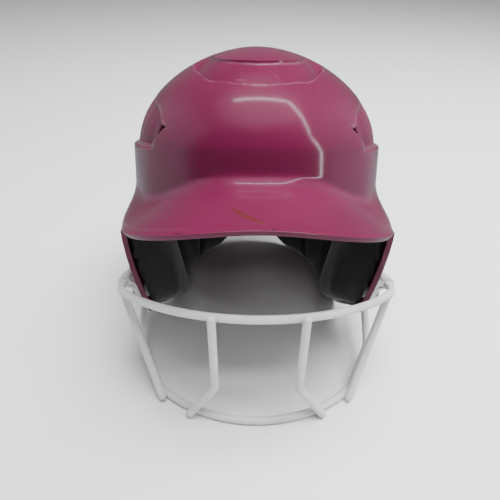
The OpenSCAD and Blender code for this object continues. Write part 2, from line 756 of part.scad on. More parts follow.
module clip_screws() {
    color(steel_grey) at_rest() both_sides() for (clip = clips) screw(clip);
}
module clip_washers() {
    color(steel_grey) at_rest() both_sides() for (clip = clips) washer(clip);
}
module clip_nuts() {
    color(steel_grey) at_rest() both_sides() for (clip = clips) nut(clip);
}

shell();
forehead_pad();
crown_pad();
back_pad();
side_pad_left();
side_pad_right();
ear_pad_left();
ear_pad_right();
nape_pad_left();
nape_pad_right();
guard_upper_bar();
guard_lower_bar();
guard_loop_left();
guard_loop_right();
middle_bar_left();
middle_bar_right();
side_bar_left();
side_bar_right();
upper_clip_left();
upper_clip_right();
lower_clip_left();
lower_clip_right();
clip_screws();
clip_washers();
clip_nuts();
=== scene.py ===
import math

import bmesh
import bpy
import numpy as np
from mathutils import Matrix, Quaternion, Vector
from mathutils.bvhtree import BVHTree
from mathutils.kdtree import KDTree


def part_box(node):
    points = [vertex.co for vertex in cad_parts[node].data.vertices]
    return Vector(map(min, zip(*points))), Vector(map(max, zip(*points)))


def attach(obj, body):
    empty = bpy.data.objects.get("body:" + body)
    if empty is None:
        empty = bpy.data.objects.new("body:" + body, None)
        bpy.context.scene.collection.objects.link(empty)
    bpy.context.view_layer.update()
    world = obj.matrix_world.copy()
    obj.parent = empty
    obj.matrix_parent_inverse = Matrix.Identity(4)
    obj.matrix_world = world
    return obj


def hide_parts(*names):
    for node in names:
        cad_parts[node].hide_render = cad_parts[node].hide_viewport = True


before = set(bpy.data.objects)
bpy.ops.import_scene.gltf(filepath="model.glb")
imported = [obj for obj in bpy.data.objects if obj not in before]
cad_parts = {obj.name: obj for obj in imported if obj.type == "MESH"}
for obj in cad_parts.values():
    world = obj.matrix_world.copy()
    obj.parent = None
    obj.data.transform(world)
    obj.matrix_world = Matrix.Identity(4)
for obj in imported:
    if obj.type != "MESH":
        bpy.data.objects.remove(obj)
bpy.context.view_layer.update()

# Moulded shell. One injection moulding of tough plastic: a vented dome, a stepped band round it, a
# brim, and a flap with an ear hole each side. It is painted deep pink and clear coated. Everything
# else is screwed or glued to it.
half_width = 0.1045
front_reach = 0.117
back_reach = 0.120
shoulder_z = 0.045
crown_rise = 0.076
wall = 0.003
band_step = 0.0045
side_taper = 0.026
back_taper = 0.010
bead = 0.001
bead_height = 0.004
bead_turn = 0.0015
brim_reach = 0.163
brim_half = 0.109
brim_root_z = 0.026
root_fall = 0.029
brim_droop = 0.018
flap_front = 0.088
rim_depth = 0.115
rim_slope = 16.5
nape_arch = 0.018
ear_hole = 0.027
crown_vent = 0.006
side_vent = 0.0042
slot_lean = 6.0
dome_power = 1.81
dome_squareness = 2.1
brim_squareness = 3.0
brim_fillet = 0.28
brim_crown = 0.12
droop_angle = 54.0
root_start = 6.0
root_turn = 56.0
flank_rise = 0.016
flank_angles = (36, 70)
flare_angles = (44, 60)
ledge_height = 0.0026
ledge_angles = (43, 49)
band_angles = (28, 52)
band_fade = (150, 176)
front_rise = 0.035
corner_angle = 45.4
flap_angle = 49.2
flap_full = 60.0
taper_top_z = -0.010
taper_power = 1.45
flap_end_angle = 99.0
flap_end_y = 0.015
flap_curve = 1.3
arch_angle = 156.0
arch_curve = 0.7
ear_angle = 86.0
ear_level = 0.51
ear_half_angle = 8.0
ear_half_level = 0.0873
ear_block = 0.028


def sind(a):
    return np.sin(np.radians(a))


def cosd(a):
    return np.cos(np.radians(a))


def mix(a, b, x):
    return a + (b - a) * x


def ease(x):
    """From 0 to 1 with a soft start and end."""
    c = np.clip(x, 0, 1)
    return c * c * (3 - 2 * c)


def step_between(a, b, x):
    return ease((x - a) / (b - a))


def unit(v):
    return v / np.linalg.norm(v, axis=-1, keepdims=True)


def curve(stops, x):
    """Smooth curve through (angle, value) stops."""
    at = np.array([s[0] for s in stops], float)
    value = np.array([s[1] for s in stops], float)
    slope = np.empty(len(at))
    slope[1:-1] = (value[2:] - value[:-2]) / (at[2:] - at[:-2])
    slope[0] = (value[1] - value[0]) / (at[1] - at[0])
    slope[-1] = (value[-1] - value[-2]) / (at[-1] - at[-2])
    i = np.clip(np.searchsorted(at, x, side="left") - 1, 0, len(at) - 2)
    span = at[i + 1] - at[i]
    u = np.clip((x - at[i]) / span, 0, 1)
    u2 = u * u
    u3 = u2 * u
    return (
        (2 * u3 - 3 * u2 + 1) * value[i]
        + (u3 - 2 * u2 + u) * slope[i] * span
        + (3 * u2 - 2 * u3) * value[i + 1]
        + (u3 - u2) * slope[i + 1] * span
    )


def side_angle(a):
    """Angle from the front, 0 to 180 on either side."""
    w = np.abs(a) % 360
    return np.where(w > 180, 360 - w, w)


def oval(f, width, front, back, n):
    """Radius at angle f of a rounded outline with its own reach to the front, back and sides."""
    s = np.abs(sind(f)) / width
    c = np.abs(cosd(f)) / np.where(cosd(f) > 0, front, back)
    return 1 / (s**n + c**n) ** (1 / n)


def stand_z(y):
    """Height of the slanted plane that the helmet rests on, as it is worn."""
    return -rim_depth + math.tan(math.radians(rim_slope)) * y


def taper(z):
    """How far the flaps and the back have drawn in at height z, 0 to 1."""
    return (np.maximum(taper_top_z - z, 0) / (rim_depth + taper_top_z)) ** taper_power


def band(f, z):
    """The band runs up into the dome in front of the side vents, and ends in a ledge behind."""
    ledge = step_between(*ledge_angles, f)
    stand_out = band_step * step_between(*band_angles, f) * (1 - step_between(*band_fade, f))
    return stand_out * np.where(
        z < shoulder_z,
        1 - ledge * step_between(shoulder_z - ledge_height, shoulder_z, z),
        (1 - ledge) * (1 - step_between(shoulder_z, shoulder_z + front_rise, z)),
    )


def back_of(z):
    return back_reach - back_taper * taper(z)


def dome_r(f, z):
    width = half_width - band_step + band(f, z) - side_taper * taper(z)
    return oval(f, width, front_reach, back_of(z), dome_squareness)


def brim_r(f, z):
    widest = mix(brim_half, half_width, step_between(flap_full, 90, f))
    flap_half = mix(widest, half_width - side_taper, taper(z))
    brim = oval(f, flap_half, brim_reach, back_of(z), brim_squareness)
    return np.where(f > 90, dome_r(f, z), brim)


def brim_z(f):
    return wall - brim_droop * ease(f / droop_angle)


def flap_z(f):
    rise = np.clip((f - flap_angle) / (flap_end_angle - flap_angle), 0, 1)
    return -flap_front + (stand_z(flap_end_y) + flap_front) * sind(90 * rise) ** flap_curve


def rear_z(f):
    first = stand_z(-dome_r(f, -rim_depth) * cosd(f))
    arch = nape_arch * ease((f - arch_angle) / (180 - arch_angle)) ** arch_curve
    return stand_z(-dome_r(f, first) * cosd(f)) + arch


def rim_z(f):
    """Height of the moulding's lower edge: the brim's, then the flap's, then the back's."""
    corner = mix(brim_z(f), flap_z(f), ease((f - corner_angle) / (flap_angle - corner_angle)))
    return np.select(
        [f < corner_angle, f < flap_angle, f < flap_end_angle],
        [brim_z(f), corner, flap_z(f)],
        rear_z(f),
    )


def skin_z(f, q):
    """Height at level q: 0 to 90 degrees up the dome, and 0 to -1 from the shoulder to the rim."""
    up = shoulder_z + crown_rise * sind(np.clip(q, 0, 90)) ** (2 / dome_power)
    return np.where(q >= 0, up, shoulder_z + (rim_z(f) - shoulder_z) * -np.minimum(q, 0))


def flare(f, z):
    """How far the skin has swept out from the dome to the brim's or flap's outline, 0 to 1."""
    fall = root_fall * ease((f - root_start) / root_turn)
    root = brim_root_z - fall + flank_rise * step_between(*flank_angles, f)
    x = (root - z) / (root - brim_z(f))
    e = brim_fillet
    swept = np.where(x < -e, 0, np.where(x < e, (x + e) ** 2 / (4 * e), np.minimum(x, 1)))
    crowned = swept * (1 + brim_crown) - brim_crown * swept * swept
    return mix(crowned, ease(x), step_between(*flare_angles, f))


def smooth_skin(a, q, brim):
    """Points on the moulding's smooth outside, at angle a from the front and level q."""
    f = side_angle(a)
    z = skin_z(f, q)
    up = dome_r(f, z) * np.maximum(cosd(np.clip(q, 0, 90)), 0) ** (2 / dome_power)
    r = np.where(q >= 0, up, mix(dome_r(f, z), brim_r(f, z), brim * flare(f, z)))
    return np.stack([r * sind(a), -r * cosd(a), z], -1)


def skin_normal(a, q, brim):
    """The smooth skin's outward direction, from small steps along it and down it."""
    da = 0.4
    dq = np.where(q > 0, 0.4, 0.008)
    along = smooth_skin(a + da, q, brim) - smooth_skin(a - da, q, brim)
    down = smooth_skin(a, np.maximum(q - dq, -1), brim) - smooth_skin(a, q + dq, brim)
    crown = np.broadcast_to(np.array([0.0, 0.0, 1.0]), along.shape)
    return np.where((q > 89)[..., None], crown, unit(np.cross(down, along) + 1e-12))


# Design lines of the vents: levels in degrees up the dome at an angle f from the front. A riser is
# the short step at a vent's lower edge, and a louvre rises towards the slot behind it.
riser_up = 0.9
riser_down = 0.4
side_edge = 0.6
slot_levels = 2.2
crown_slots = [(0, 4.5), (6, 16.5), (156, 166), (175, 180)]
side_slots = [(40.8, 43), (49.2, 51.6), (58, 60.4), (67, 69.4), (76, 78)]
louvre_top = 0.05
louvre_at = [0] + [f for slot in side_slots for f in slot] + [92]
louvre_share = [1, 1, 1] + [louvre_top, 1] * (len(side_slots) - 1) + [1]
crown_step = 0.3
wing_angles = (50, 72)
rear_wing_angles = (108, 130)
side_vent_front = (36, 39)
side_vent_back = (108, 120)


def crown_line(f):
    return curve([(0, 55), (30, 57), (54, 61.6), (90, 64), (126, 61), (180, 53)], f)


def lip_line(f):
    front = [(0, 37.7), (12, 39.3), (17, 40.4), (25, 40.9), (36, 46.2), (54, 51.8)]
    return curve(front + [(75, 55), (105, 55), (134, 51), (180, 37)], f)


def side_top_line(f):
    front = [(0, 24), (32, 18), (39.6, 13.4), (47, 21.2), (62.7, 27), (72, 30.5)]
    return curve(front + [(90, 32), (110, 25), (120, 18), (180, 20)], f)


def side_foot_line(f):
    front = [(0, 12), (30, 15), (35, 15.2), (39.1, 12.6), (43, 7.3), (47, 1.8), (52, 1.2)]
    return curve(front + [(108, 1.5), (117, 9), (124, 13), (180, 11)], f)


def crown_share(f):
    """The crown vent is at full depth in front and behind, and fades over the ears."""
    return 1 - step_between(*wing_angles, f) * (1 - step_between(*rear_wing_angles, f))


def side_share(f):
    return step_between(*side_vent_front, f) * (1 - step_between(*side_vent_back, f))


def vent_depth(f, q, louvre=1):
    """The crown vent steps down and deepens to its lip. The side vent is as deep as its louvres."""
    top = crown_line(f)
    lip = lip_line(f)
    floor = np.where(
        q > lip + riser_up,
        crown_step * step_between(top + side_edge, top, q)
        + (1 - crown_step) * np.clip((top - q) / (top - lip - riser_up), 0, 1),
        step_between(lip - riser_down, lip + riser_up, q),
    )
    crown = crown_vent * crown_share(f) * floor
    side_top = side_top_line(f)
    foot = side_foot_line(f)
    side = (
        side_vent
        * side_share(f)
        * step_between(side_top + side_edge, side_top - side_edge, q)
        * step_between(foot - riser_down, foot + riser_up, q)
    )
    return np.where(q <= 0, 0, crown + louvre * side)


def skin_point(a, q, depth, brim=1, louvre=1):
    """Points at a depth below the moulding's outside, vents included."""
    f = side_angle(a)
    below = depth + vent_depth(f, q, louvre)
    return smooth_skin(a, q, brim) - below[..., None] * skin_normal(a, q, brim)


def ear_place(a, q, hole=ear_hole):
    """Squares of the grid round the ear are drawn out to a round hole."""
    f = side_angle(a)
    x = (f - ear_angle) / ear_half_angle
    y = (-q - ear_level) / ear_half_level
    s = np.maximum(np.abs(x), np.abs(y))
    e = np.maximum(np.hypot(x, y), 0.001)
    k = np.where((q > 0) | (s > 2), 1, mix(hole / ear_block * s / e, 1, np.clip(s - 1, 0, 1)))
    g = ear_angle + ear_half_angle * x * k
    turned = np.where(a > 180, 360 - g, np.where(a < 0, -g, g))
    return turned, np.where(q > 0, q, -(ear_level + ear_half_level * y * k))


def in_ear(f, q):
    return (np.abs(f - ear_angle) < ear_half_angle) & (np.abs(-q - ear_level) < ear_half_level)


def finer(values, counts):
    """A list of places with each gap cut into the number of steps given for it."""
    made = [values[0]]
    for a, b, n in zip(values[:-1], values[1:], counts):
        made += [mix(a, b, k / n) for k in range(1, n + 1)]
    return made


# The grid that the moulding is made on. Its columns are angles from the front and its rows are
# levels, both with the design lines among them and each gap cut finer.
half_columns = (
    [0, 4.5, 6, 11, 16.5, 21, 26, 31, 35.5, 38.5, 40.8, 43]
    + [mix(corner_angle, flap_angle, k / 8) for k in range(9)]
    + [51.6, 55, 58, 60.4, 64, 67, 69.4, 73, 76]
    + [ear_angle + ear_half_angle * k / 2 for k in range(-2, 3)]
    + [flap_end_angle, 104, 110, 116, 122, 129, 136, 143, 150, 156, 161, 166, 170, 175, 180]
)
column_step = 1.3
half_columns = finer(
    half_columns,
    [max(1, round((b - a) / column_step)) for a, b in zip(half_columns[:-1], half_columns[1:])],
)
columns = np.array(half_columns + [360 - a for a in half_columns[-2:0:-1]])

band_rows = [0.15, 0.30, 0.45, 0.60, 0.75, 0.88]
flap_rows = [ear_level + ear_half_level * k / 3 for k in (-3, -1, 1, 3)] + [0.70, 0.78, 0.86, 0.93]
upper_splits = [7, 6, 2, 4, 4, 3, 3, 3, 6, 6, 3, 4, 4, 4, 3, 8]
band_splits = [2, 3, 3, 3, 4, 5, 6, 6, 4, 3, 3]
flap_splits = [2, 4, 4, 4, 5, 4, 4, 4, 2, 2, 2]
edge_mark = len(upper_splits) + len(band_splits)
slot_row = 5
louvre_rows = (11, 13)
lean_at = [10, 11, 12, 13, 14, 15, 16, 17, 18]
lean_share = [0, 0, 0.36, 0.64, 1, 1, 0.7, 0.3, 0]
lean_front = (28, 38)
lean_back = (96, 120)
near_ear_front = (52, 70)
near_ear_back = (102, 120)


def upper_levels(f):
    """Rows from the crown to the shoulder, one along each design line of the vents."""
    top = crown_line(f)
    lip = lip_line(f)
    side_top = side_top_line(f)
    foot = side_foot_line(f)
    return [
        mix(90, top, 0.04), mix(90, top, 0.7), top + side_edge, top,
        mix(top, lip + riser_up + slot_levels, 0.5), lip + riser_up + slot_levels,
        lip + riser_up, lip - riser_down, lip - 10 * riser_down, mix(lip, side_top, 0.55),
        side_top + side_edge, side_top - side_edge, mix(side_top, foot, 0.36),
        mix(side_top, foot, 0.64), foot + riser_up, foot - riser_down, 0 * f,
    ]


def edge_share(f):
    """How far down a column the level of the brim's edge lies."""
    return (shoulder_z - brim_z(f)) / (shoulder_z - rim_z(f))


def shell_levels(f):
    """Rows down to the level of the brim's edge, and from there, on flaps and back, to the rim."""
    share = edge_share(f)
    drop = shoulder_z - brim_z(f)
    above = [ledge_height / 3 / drop, ledge_height / drop] + band_rows
    above += [1 - bead_height / drop, 1 - bead_height / 4 / drop, 1 + 0 * f]
    ear_drop = shoulder_z - float(rim_z(np.array(ear_angle)))
    ear_share = float(edge_share(np.array(ear_angle)))
    near_ear = step_between(*near_ear_front, f) * (1 - step_between(*near_ear_back, f))
    below = []
    for row in flap_rows + [1 - bead_height / ear_drop, 1 - bead_height / 4 / ear_drop, 1]:
        fanned = mix(share, 1, (row - ear_share) / (1 - ear_share))
        below.append(-mix(fanned, row, near_ear))
    return upper_levels(f) + [-share * row for row in above] + below


splits = upper_splits + band_splits + flap_splits
row_marks = np.array(finer(list(range(len(splits) + 1)), splits))


def level_at(mark, f):
    """Level of the grid's row at a mark between the design rows."""
    levels = shell_levels(f)
    i = min(int(mark), len(levels) - 2)
    return mix(levels[i], levels[i + 1], mark - i)


def lean(mark, f):
    """How far the columns lean back on their way down through the side vents, in degrees."""
    share = np.interp(mark, lean_at, lean_share)
    return slot_lean * step_between(*lean_front, f) * (1 - step_between(*lean_back, f)) * share


def rim_roll(f, q):
    """How far the bead along the rim stands out."""
    up = (1 + q) * (shoulder_z - rim_z(f))
    return np.where(q > -0.5, 0, bead * ease((bead_height - up) / bead_turn))


def shell_grid(depth):
    """The moulding's outside at depth 0, with its bead, or its inside at the depth of the wall."""
    rows = []
    louvre = np.interp(side_angle(columns), louvre_at, louvre_share)
    for mark in row_marks:
        turn = lean(mark, side_angle(columns))
        turned = np.where(columns > 180, columns - turn, columns + turn)
        a, q = ear_place(turned, level_at(mark, side_angle(turned)))
        below = depth if depth else -rim_roll(side_angle(a), q)
        rows.append(skin_point(a, q, below + 0 * a, louvre=louvre))
    return np.array(rows)


def in_slot(mark, f):
    """Whether a square of the grid lies in one of the vents' slots."""
    if slot_row < mark < slot_row + 1:
        return any(a < f < b for a, b in crown_slots)
    return louvre_rows[0] < mark < louvre_rows[1] + 1 and any(a < f < b for a, b in side_slots)


tilt = math.radians(-rim_slope)
rest_rise = rim_depth * math.cos(tilt)


def tipped(points):
    y = points[..., 1] * math.cos(tilt) - points[..., 2] * math.sin(tilt)
    z = points[..., 1] * math.sin(tilt) + points[..., 2] * math.cos(tilt)
    return np.stack([points[..., 0], y, z], -1)


back_levels = np.linspace(0, 60, 61)
back_points = tipped(smooth_skin(180 + 0 * back_levels, back_levels, 0))
rest_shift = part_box("shell")[1].y - back_points[:, 1].max()


def at_rest(points):
    """From the pose in which the helmet is worn to the one in which it stands on guard and rim."""
    return tipped(np.asarray(points, float)) + np.array([0, rest_shift, rest_rise])


same_place = 0.000001


def walled_sheet(outer, inner, is_open, closed=False, poles=()):
    """A solid wall between two grids of points, and the edges round its openings, for rounding."""
    rows, cols = outer.shape[:2]
    mesh = bmesh.new()
    out = [[mesh.verts.new(p) for p in row] for row in outer]
    inn = [[mesh.verts.new(p) for p in row] for row in inner]
    span = cols if closed else cols - 1
    filled = np.array([[not is_open(i, j) for j in range(span)] for i in range(rows - 1)])
    rims = []

    def is_filled(i, j):
        if i < 0 or i >= rows - 1:
            return False
        if not closed and (j < 0 or j >= span):
            return False
        return filled[i][j % span]

    def wall_face(a, b):
        (i, j), (k, m) = a, b
        face = mesh.faces.new((out[i][j], out[k][m], inn[k][m], inn[i][j]))
        rims.append(face)

    for i in range(rows - 1):
        for j in range(span):
            if not filled[i][j]:
                continue
            n = (j + 1) % cols
            mesh.faces.new((out[i][j], out[i][n], out[i + 1][n], out[i + 1][j]))
            mesh.faces.new((inn[i][j], inn[i + 1][j], inn[i + 1][n], inn[i][n]))
            if not is_filled(i + 1, j):
                wall_face((i + 1, n), (i + 1, j))
            if not is_filled(i - 1, j) and not (i == 0 and len(poles)):
                wall_face((i, j), (i, n))
            if not is_filled(i, j + 1):
                wall_face((i, n), (i + 1, n))
            if not is_filled(i, j - 1):
                wall_face((i + 1, j), (i, j))
    if len(poles):
        top = mesh.verts.new(poles[0])
        bottom = mesh.verts.new(poles[1])
        for j in range(cols):
            n = (j + 1) % cols
            mesh.faces.new((top, out[0][n], out[0][j]))
            mesh.faces.new((bottom, inn[0][j], inn[0][n]))
    bmesh.ops.remove_doubles(mesh, verts=mesh.verts, dist=same_place)
    mesh.normal_update()
    rims = {face for face in rims if face.is_valid}
    edges = {
        e for face in rims for e in face.edges if any(f not in rims for f in e.link_faces)
    }
    loose = [v for v in mesh.verts if not v.link_faces]
    bmesh.ops.delete(mesh, geom=loose, context="VERTS")
    bmesh.ops.recalc_face_normals(mesh, faces=mesh.faces)
    return mesh, [e for e in edges if e.is_valid]


def finish_mesh(name, mesh, smooth_angle=35):
    """Puts a mesh in the scene, shaded smooth except over edges sharper than the angle."""
    data = bpy.data.meshes.new(name)
    mesh.to_mesh(data)
    mesh.free()
    piece = bpy.data.objects.new(name, data)
    bpy.context.scene.collection.objects.link(piece)
    data.shade_smooth()
    data.set_sharp_from_angle(angle=math.radians(smooth_angle))
    return piece


crown_top = np.array([0, 0, shoulder_z + crown_rise])
rim_round = 0.0005
shell_smooth_angle = 50


def shell_is_open(i, j):
    """Open cells: the slots, the ear holes, and below the brim's edge in front of the flaps."""
    mark = (row_marks[i] + row_marks[i + 1]) / 2
    next_column = columns[j + 1] if j + 1 < len(columns) else 360.0
    f = float(side_angle((columns[j] + next_column) / 2))
    if mark < edge_mark:
        return in_slot(mark, f)
    return f < corner_angle or bool(in_ear(f, float(level_at(mark, np.array(f)))))


outer_points = at_rest(shell_grid(0))
shell_mesh, shell_rims = walled_sheet(
    outer_points, at_rest(shell_grid(wall)), shell_is_open, closed=True,
    poles=at_rest([crown_top, crown_top - [0, 0, wall]]),
)
bmesh.ops.bevel(
    shell_mesh, geom=shell_rims, offset=rim_round, segments=2, affect="EDGES", profile=0.6
)
helmet_shell = finish_mesh("helmet_shell", shell_mesh, shell_smooth_angle)

# The rows of the grid that run along an edge of a vent or of the ledge
crown_top_row, lip_row, side_top_row, side_foot_row, ledge_row = 3, 7, 10, 15, 17
# The painted highlight along the crown vent's top edge is a little weaker than along the other
# edges
crown_top_highlight = 0.8
ledge_fade = (150, 170)


def crease_at(mark, f):
    """How strongly an edge of a vent or the ledge runs along a row of the grid."""
    crown, side = crown_share(f), side_share(f)
    ledge = step_between(*ledge_angles, f) * (1 - step_between(*ledge_fade, f))
    edges = {
        crown_top_row: crown_top_highlight * crown, lip_row: crown,
        side_top_row: side, side_foot_row: side, ledge_row: ledge,
    }
    return edges.get(mark, 0 * f)


# Those edges are kept with the mesh, for a paler line painted along them: a painted highlight on
# the creases, and paint rubbed thin there
crease_tree = KDTree(len(row_marks) * len(columns))
creases = np.array([crease_at(float(mark), side_angle(columns)) for mark in row_marks]).ravel()
for i, point in enumerate(outer_points.reshape(-1, 3)):
    crease_tree.insert(point, i)
crease_tree.balance()
edge_highlight_and_wear = helmet_shell.data.attributes.new("edge_highlight_and_wear", "FLOAT", "POINT")
edge_highlight_and_wear.data.foreach_set(
    "value", [creases[crease_tree.find(v.co)[1]] for v in helmet_shell.data.vertices]
)


class Nodes:
    """Places and joins nodes in one material or node group."""

    def __init__(self, tree):
        self.tree = tree

    def add(self, kind, inputs=None, **settings):
        node = self.tree.nodes.new(kind)
        for key, value in settings.items():
            setattr(node, key, value)
        for key, value in (inputs or {}).items():
            self.set(node.inputs[key], value)
        return node

    def set(self, socket, value):
        if isinstance(value, bpy.types.NodeSocket):
            self.tree.links.new(value, socket)
        else:
            socket.default_value = value

    def math(self, operation, *values, clamp=False):
        node = self.add("ShaderNodeMath", operation=operation, use_clamp=clamp)
        for socket, value in zip(node.inputs, values):
            self.set(socket, value)
        return node.outputs[0]

    def vector(self, operation, *values, out="Vector"):
        node = self.add("ShaderNodeVectorMath", operation=operation)
        for socket, value in zip(node.inputs, values):
            self.set(socket, value)
        return node.outputs[out]

    def blend(self, factor, a, b):
        node = self.add("ShaderNodeMix", data_type="RGBA")
        self.set(node.inputs["Factor"], factor)
        self.set(node.inputs["A"], a)
        self.set(node.inputs["B"], b)
        return node.outputs["Result"]

    def ramp(self, value, low, high, interpolation="SMOOTHSTEP"):
        node = self.add("ShaderNodeMapRange", interpolation_type=interpolation)
        self.set(node.inputs["Value"], value)
        self.set(node.inputs["From Min"], low)
        self.set(node.inputs["From Max"], high)
        return node.outputs["Result"]

    def noise(self, place, scale, detail=3.0, roughness=0.55):
        node = self.add("ShaderNodeTexNoise", {"Vector": place, "Scale": scale, "Detail": detail})
        node.inputs["Roughness"].default_value = roughness
        return node.outputs["Fac"]

    def group(self, tree, **inputs):
        node = self.add("ShaderNodeGroup", node_tree=tree)
        for key, value in inputs.items():
            self.set(node.inputs[key.replace("_", " ")], value)
        return node.outputs


def new_group(name, inputs, outputs):
    """An empty node group with named float, vector or colour sockets."""
    tree = bpy.data.node_groups.new(name, "ShaderNodeTree")
    for label, kind in inputs:
        tree.interface.new_socket(label, in_out="INPUT", socket_type="NodeSocket" + kind)
    for label, kind in outputs:
        tree.interface.new_socket(label, in_out="OUTPUT", socket_type="NodeSocket" + kind)
    nodes = Nodes(tree)
    start = nodes.add("NodeGroupInput").outputs
    end = nodes.add("NodeGroupOutput").inputs
    return tree, nodes, start, end


def new_material(name):
    """A material with one shader: its nodes, the shader's inputs and the place on the piece."""
    material = bpy.data.materials.new(name)
    material.use_nodes = True
    nodes = Nodes(material.node_tree)
    material.node_tree.nodes.clear()
    shader = nodes.add("ShaderNodeBsdfPrincipled")
    nodes.add("ShaderNodeOutputMaterial", {"Surface": shader.outputs[0]})
    place = nodes.add("ShaderNodeTexCoord").outputs["Object"]
    return material, nodes, shader.inputs, place


# A rubbed mark along a line from Start to End, as wide as Width, broken up by noise. It is narrow
# at its tips and wider between them.
mark_tip = 0.2
mark_belly = 3.2
mark_outside = 1.1
mark_inside = 0.4
mark_grip = 0.35
mark_soft = 0.12
scuff_group, g, start, end = new_group(
    "rubbed mark",
    [("Place", "Vector"), ("Start", "Vector"), ("End", "Vector"), ("Width", "Float"),
     ("Break", "Float"), ("Grain", "Float")],
    [("Mask", "Float")],
)
run = g.vector("SUBTRACT", start["End"], start["Start"])
off = g.vector("SUBTRACT", start["Place"], start["Start"])
along = g.math(
    "DIVIDE",
    g.vector("DOT_PRODUCT", off, run, out="Value"),
    g.vector("DOT_PRODUCT", run, run, out="Value"),
    clamp=True,
)
scaled = g.add("ShaderNodeVectorMath", operation="SCALE")
g.set(scaled.inputs[0], run)
g.set(scaled.inputs["Scale"], along)
apart = g.vector("DISTANCE", off, scaled.outputs[0], out="Value")
lens_shape = g.math("SUBTRACT", along, g.math("MULTIPLY", along, along))
width_share = g.math("ADD", g.math("MULTIPLY", lens_shape, mark_belly), mark_tip)
half_wide = g.math("MULTIPLY", start["Width"], width_share)
inside = g.ramp(g.math("DIVIDE", apart, half_wide), mark_outside, mark_inside)
grain = g.noise(start["Place"], start["Grain"], 5.0, 0.7)
grip = g.math("MULTIPLY", g.math("SUBTRACT", inside, 1.0), mark_grip)
broken = g.ramp(
    g.math("ADD", grain, grip), start["Break"], g.math("ADD", start["Break"], mark_soft)
)
g.set(end["Mask"], g.math("MULTIPLY", inside, broken))

# Fine scratches: thin bright hairs in patches, in three directions
hair_turns = (0.4, 1.3, 2.4)
hair_axis = (0.3, 0.8, 0.5)
hair_stretch = (1.0, 22.0, 3.0)
hair_half_width = 0.006
patch_scale = 30.0
patch_edge = (0.6, 0.7)
hair_group, g, start, end = new_group(
    "hair scratches",
    [("Place", "Vector"), ("Scale", "Float"), ("Amount", "Float")],
    [("Mask", "Float")],
)
hair_masks = []
for turn in hair_turns:
    spun = g.add("ShaderNodeVectorRotate", {"Vector": start["Place"], "Angle": turn},
                 rotation_type="AXIS_ANGLE")
    spun.inputs["Axis"].default_value = hair_axis
    stretched = g.vector("MULTIPLY", spun.outputs[0], hair_stretch)
    line = g.noise(stretched, start["Scale"], 2.0, 0.4)
    hair = g.ramp(g.math("ABSOLUTE", g.math("SUBTRACT", line, 0.5)), hair_half_width, 0.0)
    patch = g.noise(g.vector("ADD", start["Place"], (turn, 0, 0)), patch_scale, 2.0)
    hair_masks.append(g.math("MULTIPLY", hair, g.ramp(patch, *patch_edge)))
all_hairs = g.math("MAXIMUM", g.math("MAXIMUM", hair_masks[0], hair_masks[1]), hair_masks[2])
g.set(end["Mask"], g.math("MULTIPLY", all_hairs, start["Amount"]))

shell_pink = (0.122, 0.0076, 0.041, 1)
shell_deep = (0.105, 0.0065, 0.034, 1)
# The next colour is a paler pink painted along the vent and ledge edges: a painted highlight, and
# paint rubbed thin there
painted_edge_highlight = (0.26, 0.09, 0.14, 1)
scuff_brown = (0.085, 0.016, 0.010, 1)
scuff_black = (0.012, 0.007, 0.010, 1)
scratch_pale = (0.27, 0.11, 0.16, 1)

# Wear marks: where each starts and ends as angle and level on the skin, its half width, how far it
# is broken up, and its colour
wear_marks = [
    ((-7.5, -0.738), (-2.6, -0.862), 0.0034, 0.38, scuff_brown),
    ((-4.2, -0.825), (1.6, -0.921), 0.0028, 0.38, scuff_brown),
    ((-23.2, 10.8), (-14.8, 1.8), 0.0008, 0.42, scuff_brown),
    ((-14.8, -0.780), (-13.6, -0.792), 0.0007, 0.38, scuff_brown),
    ((-20.5, -0.982), (-15.5, -0.980), 0.0025, 0.42, scuff_black),
    ((-8.0, -0.980), (-1.0, -0.982), 0.0018, 0.48, scuff_black),
    ((-1.6, -0.982), (6.0, -0.982), 0.0025, 0.45, scuff_black),
    ((5.6, -0.982), (13.4, -0.980), 0.0025, 0.45, scuff_black),
    ((21.0, -0.978), (31.0, -0.975), 0.0026, 0.43, scuff_black),
]
wear_grain = 420.0
mark_strength = 0.85
# How strongly the painted highlight along the edges shows
edge_highlight_strength = 0.55
clear_coat = 0.9
coat_lost = 0.7
coat_haze = 0.13
cloud_scale = 9.0
# Scale of the noise that breaks up the painted edge highlight
edge_breakup_scale = 55.0
dull_scale = 40.0
peel_scale = 420.0
peel_height = 0.0004

shell_paint, m, shader, place = new_material("shell paint")
cloud = m.noise(place, cloud_scale, 2.0)
paint = m.blend(m.ramp(cloud, 0.35, 0.65), shell_pink, shell_deep)
hairs = m.group(hair_group, Place=place, Scale=16.0, Amount=0.5)["Mask"]
# Painted highlight: the vent and ledge edges are painted paler, broken up by noise, standing in for
# the glints on the creases and for paint rubbed thin there
edge = m.add("ShaderNodeAttribute", attribute_name="edge_highlight_and_wear").outputs["Fac"]
edge_breakup = m.ramp(m.noise(place, edge_breakup_scale, 4.0, 0.6), 0.30, 0.62)
edge_glint = m.math("MULTIPLY", edge, edge_breakup)
scratched = m.blend(hairs, paint, scratch_pale)
worn_and_highlit = m.blend(m.math("MULTIPLY", edge_glint, edge_highlight_strength), scratched, painted_edge_highlight)
worn_off = 0.0
for *ends, half_mark, broken_up, colour in wear_marks:
    a, b = (at_rest(smooth_skin(np.array(f), np.array(q), 1)).tolist() for f, q in ends)
    mark = m.group(scuff_group, Place=place, Start=a, End=b, Width=half_mark,
                   Break=broken_up, Grain=wear_grain)["Mask"]
    worn_and_highlit = m.blend(m.math("MULTIPLY", mark, mark_strength), worn_and_highlit, colour)
    worn_off = m.math("MAXIMUM", mark, worn_off)
m.set(shader["Base Color"], worn_and_highlit)
dull = m.noise(place, dull_scale, 3.0)
m.set(shader["Roughness"], m.ramp(dull, -1.0, 2.6, "LINEAR"))
